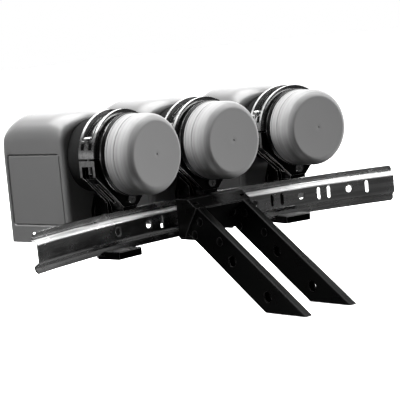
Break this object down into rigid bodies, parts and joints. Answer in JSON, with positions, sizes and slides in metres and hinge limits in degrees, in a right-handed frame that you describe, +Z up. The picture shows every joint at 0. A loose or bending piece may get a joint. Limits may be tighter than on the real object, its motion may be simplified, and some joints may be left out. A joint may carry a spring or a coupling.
{
  "type": "multifeed holder for a satellite dish",
  "caption": "Curved perforated rail on a pair of sloping arms, carrying round-capped feeds in split ring clamps that slide along the rail, each feed with a weather hood behind it.",
  "frame": {"origin": "centre of the lower mounting bolt, midway between the two arms", "axes": "X along the rail, Y away from the dish and back along the feeds, Z up"},
  "size_m": [0.3732, 0.2266, 0.1608],
  "materials": {
    "black_arms": "semi-gloss",
    "black_casting": "gloss",
    "chrome_rail": "polished",
    "zinc_clamp": "polished zinc",
    "collar_band": "dark polished",
    "steel_fasteners": "bright zinc",
    "cap_plastic": "satin",
    "hood_plastic": "satin",
    "cast_aluminium": "as cast",
    "board": "satin"
  },
  "bodies": {
    "root": {"feed_arm_left": "black_arms", "feed_arm_right": "black_arms", "arm_head": "black_casting", "arm_rivets": "steel_fasteners", "rail": "chrome_rail", "rail_spacers": "steel_fasteners", "rail_bolts": "steel_fasteners", "rail_nuts": "steel_fasteners"},
    "carriage_left": {"clamp_base_left": "black_casting", "clamp_bow_left": "zinc_clamp", "ring_screws_left": "steel_fasteners", "rail_jaw_left": "black_casting", "jaw_screw_left": "steel_fasteners"},
    "feed_left": {"feed_cap_left": "cap_plastic", "feed_horn_left": "cast_aluminium", "feed_collar_left": "collar_band", "converter_body_left": "cast_aluminium", "converter_board_left": "board", "port_plate_left": "cast_aluminium", "ports_left": "steel_fasteners", "hood_left": "hood_plastic"},
    "carriage_middle": {"clamp_base_middle": "black_casting", "clamp_bow_middle": "zinc_clamp", "ring_screws_middle": "steel_fasteners", "rail_jaw_middle": "black_casting", "jaw_screw_middle": "steel_fasteners"},
    "feed_middle": {"feed_cap_middle": "cap_plastic", "feed_horn_middle": "cast_aluminium", "feed_collar_middle": "collar_band", "converter_body_middle": "cast_aluminium", "converter_board_middle": "board", "port_plate_middle": "cast_aluminium", "ports_middle": "steel_fasteners", "hood_middle": "hood_plastic"},
    "carriage_right": {"clamp_base_right": "black_casting", "clamp_bow_right": "zinc_clamp", "ring_screws_right": "steel_fasteners", "rail_jaw_right": "black_casting", "jaw_screw_right": "steel_fasteners"},
    "feed_right": {"feed_cap_right": "cap_plastic", "feed_horn_right": "cast_aluminium", "feed_collar_right": "collar_band", "converter_body_right": "cast_aluminium", "converter_board_right": "board", "port_plate_right": "cast_aluminium", "ports_right": "steel_fasteners", "hood_right": "hood_plastic"}
  },
  "joints": [
    {"name": "slide_along_rail_left", "type": "hinge", "parent": "root", "child": "carriage_left", "pos_m": [0, -0.37244, 0.05481], "axis": [0, 0, 1], "range_deg": [-0.4, 8]},
    {"name": "skew_left", "type": "hinge", "parent": "carriage_left", "child": "feed_left", "pos_m": [-0.08886, 0.08341, 0.11427], "axis": [-0.1271, 0.9919, 0], "range_deg": [-10, 10]},
    {"name": "slide_along_rail_middle", "type": "hinge", "parent": "root", "child": "carriage_middle", "pos_m": [0, -0.37244, 0.05481], "axis": [0, 0, 1], "range_deg": [-0.4, 0.4]},
    {"name": "skew_middle", "type": "hinge", "parent": "carriage_middle", "child": "feed_middle", "pos_m": [0, 0.09196, 0.11427], "axis": [0, 1, 0], "range_deg": [-10, 10]},
    {"name": "slide_along_rail_right", "type": "hinge", "parent": "root", "child": "carriage_right", "pos_m": [0, -0.37244, 0.05481], "axis": [0, 0, 1], "range_deg": [-8, 0.4]},
    {"name": "skew_right", "type": "hinge", "parent": "carriage_right", "child": "feed_right", "pos_m": [0.08886, 0.08341, 0.11427], "axis": [0.1271, 0.9919, 0], "range_deg": [-10, 10]}
  ]
}
